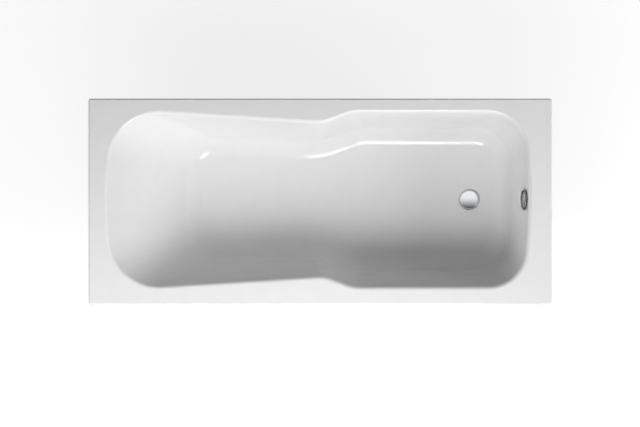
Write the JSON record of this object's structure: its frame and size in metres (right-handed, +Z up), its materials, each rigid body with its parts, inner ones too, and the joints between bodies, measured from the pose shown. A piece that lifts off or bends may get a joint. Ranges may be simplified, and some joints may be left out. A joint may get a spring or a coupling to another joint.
{
  "type": "rectangular bathtub",
  "caption": "Rectangular enamelled steel bath with a sloped backrest, a wider shower end, a lifting plug worked by a round overflow knob, a trap and adjustable feet.",
  "frame": {"origin": "on the floor, under the middle of the rim", "axes": "+X to the drain end, +Y to the back (the wall side), +Z up"},
  "size_m": [1.8, 0.8, 0.56],
  "materials": {
    "enamel": "gloss",
    "chrome": "polished",
    "brass": "turned",
    "rubber": "matt",
    "white_plastic": "satin",
    "grey_plastic": "satin",
    "black_plastic": "satin",
    "zinc": "zinc-plated",
    "galvanised": "galvanised",
    "stainless": "drawn",
    "bitumen": "matt"
  },
  "bodies": {
    "bath": {"backrest_mat": "bitumen", "bath_shell": "enamel", "cable_clips": "grey_plastic", "cable_sheath": "black_plastic", "drain_rail": "galvanised", "earth_lug": "galvanised", "floor_mat": "bitumen", "head_rail": "galvanised", "lock_nuts": "zinc", "outlet_nut": "grey_plastic", "outlet_pipe": "white_plastic", "outlet_seal": "rubber", "overflow_body": "white_plastic", "overflow_face": "black_plastic", "overflow_gasket": "rubber", "overflow_pipe": "white_plastic", "overflow_pipe_nuts": "grey_plastic", "overflow_pipe_seals": "rubber", "overflow_screws": "stainless", "rail_beddings": "rubber", "rail_bushes": "galvanised", "rail_studs": "zinc", "rocker_pin": "stainless", "side_mats": "bitumen", "stud_nuts": "zinc", "stud_washers": "zinc", "trap_cup": "white_plastic", "trap_seal": "rubber", "waste_body": "white_plastic", "waste_flange": "chrome", "waste_flat_gasket": "rubber", "waste_lower_gasket": "rubber"},
    "plug": {"plug_cap": "chrome", "plug_stem": "brass", "plug_seal": "rubber", "plug_nut": "brass"},
    "rocker": {"rocker": "white_plastic"},
    "lower_wire": {"cable_wire_lower": "stainless"},
    "upper_wire": {"cable_wire_upper": "stainless"},
    "knob": {"overflow_knob": "chrome", "knob_shaft": "stainless"},
    "foot_head_front": {"foot_stem_head_front": "zinc", "foot_leg_head_front": "black_plastic", "foot_sole_head_front": "rubber"},
    "foot_head_back": {"foot_stem_head_back": "zinc", "foot_leg_head_back": "black_plastic", "foot_sole_head_back": "rubber"},
    "foot_drain_front": {"foot_stem_drain_front": "zinc", "foot_leg_drain_front": "black_plastic", "foot_sole_drain_front": "rubber"},
    "foot_drain_back": {"foot_stem_drain_back": "zinc", "foot_leg_drain_back": "black_plastic", "foot_sole_drain_back": "rubber"}
  },
  "joints": [
    {"name": "knob_turn", "type": "hinge", "parent": "bath", "child": "knob", "pos_m": [0.79654, 0.007, 0.5], "axis": [-0.974, 0, 0.2267], "range_deg": [0, 90]},
    {"name": "plug_lift", "type": "slide", "parent": "bath", "child": "plug", "axis": [0, 0, 1], "range_m": [0, 0.00901]},
    {"name": "rocker_turn", "type": "hinge", "parent": "bath", "child": "rocker", "pos_m": [0.601, 0.007, 0.1392], "axis": [0, 1, 0], "range_deg": [0, 23.62]},
    {"name": "lower_wire_pull", "type": "slide", "parent": "bath", "child": "lower_wire", "axis": [1, 0, 0], "range_m": [0, 0.00753]},
    {"name": "upper_wire_pull", "type": "slide", "parent": "bath", "child": "upper_wire", "axis": [0.2267, 0, 0.974], "range_m": [0, 0.00753]},
    {"name": "foot_head_front_height", "type": "slide", "parent": "bath", "child": "foot_head_front", "axis": [0, 0, 1], "range_m": [-0.04, 0]},
    {"name": "foot_head_back_height", "type": "slide", "parent": "bath", "child": "foot_head_back", "axis": [0, 0, 1], "range_m": [-0.04, 0]},
    {"name": "foot_drain_front_height", "type": "slide", "parent": "bath", "child": "foot_drain_front", "axis": [0, 0, 1], "range_m": [-0.04, 0]},
    {"name": "foot_drain_back_height", "type": "slide", "parent": "bath", "child": "foot_drain_back", "axis": [0, 0, 1], "range_m": [-0.04, 0]}
  ],
  "couplings": [
    {"joint": "plug_lift", "follows": "knob_turn", "m_per_rad": 0.0057296},
    {"joint": "rocker_turn", "follows": "knob_turn", "ratio": 0.26229},
    {"joint": "lower_wire_pull", "follows": "knob_turn", "m_per_rad": 0.0047893},
    {"joint": "upper_wire_pull", "follows": "knob_turn", "m_per_rad": 0.0047893}
  ]
}
